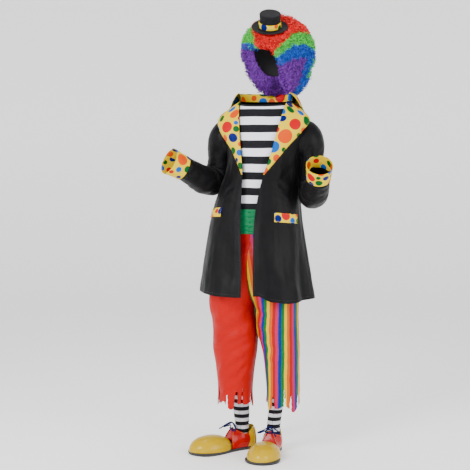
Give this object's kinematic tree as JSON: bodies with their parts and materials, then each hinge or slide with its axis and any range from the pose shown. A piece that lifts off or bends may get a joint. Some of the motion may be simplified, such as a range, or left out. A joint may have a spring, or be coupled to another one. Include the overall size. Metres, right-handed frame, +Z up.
{
  "type": "clown costume",
  "caption": "Clown costume as worn: long open coat with wide dotted lapels, striped shirt front, sash and two-coloured trousers, with curly wig, small hat, socks and shoes.",
  "frame": {"origin": "where the costume is held: the level of the wearer's neck and shoulders, over the middle of the body", "axes": "+Z up, the wearer faces -Y, +X to the wearer's left"},
  "size_m": [0.7214, 0.4378, 1.8702],
  "materials": {
    "black_satin": "black satin, softly shiny",
    "dotted_satin": "yellow satin printed with round dots in red, orange, blue and green",
    "striped_jersey": "jersey in black and white cross stripes",
    "black_jersey": "black ribbed neckband",
    "green_satin": "green satin gathered in flat wrinkles",
    "red_satin": "plain bright red satin",
    "rainbow_satin": "satin in lengthwise rainbow stripes",
    "rainbow_hair": "tight synthetic curls, red at the top, then green, blue and purple",
    "black_felt": "black pressed felt",
    "striped_knit": "knit in black and white rings",
    "black_rubber": "black moulded sole",
    "yellow_vinyl": "glossy yellow vinyl",
    "red_vinyl": "glossy red vinyl",
    "blue_cord": "dark blue round lace"
  },
  "bodies": {
    "root": {"coat_back": "black_satin", "coat_front_right": "black_satin", "coat_front_left": "black_satin", "sleeve_right": "black_satin", "sleeve_left": "black_satin", "lapel_right": "dotted_satin", "lapel_left": "dotted_satin", "collar": "dotted_satin", "cuff_right": "dotted_satin", "cuff_left": "dotted_satin", "pocket_flap_right": "dotted_satin", "pocket_flap_left": "dotted_satin", "shirt_front": "striped_jersey", "shirt_neckband": "black_jersey", "waist_sash": "green_satin", "trouser_front_right": "red_satin", "trouser_back_right": "red_satin", "trouser_front_left": "rainbow_satin", "trouser_back_left": "rainbow_satin", "wig": "rainbow_hair", "hat": "black_felt", "hat_band": "dotted_satin", "sock_right": "striped_knit", "sock_left": "striped_knit", "shoe_sole_right": "black_rubber", "shoe_toe_right": "yellow_vinyl", "shoe_upper_right": "red_vinyl", "shoe_heel_right": "yellow_vinyl", "shoe_tongue_right": "red_vinyl", "shoe_lace_right": "blue_cord", "shoe_sole_left": "black_rubber", "shoe_toe_left": "yellow_vinyl", "shoe_upper_left": "red_vinyl", "shoe_heel_left": "yellow_vinyl", "shoe_tongue_left": "red_vinyl", "shoe_lace_left": "blue_cord"}
  },
  "joints": []
}
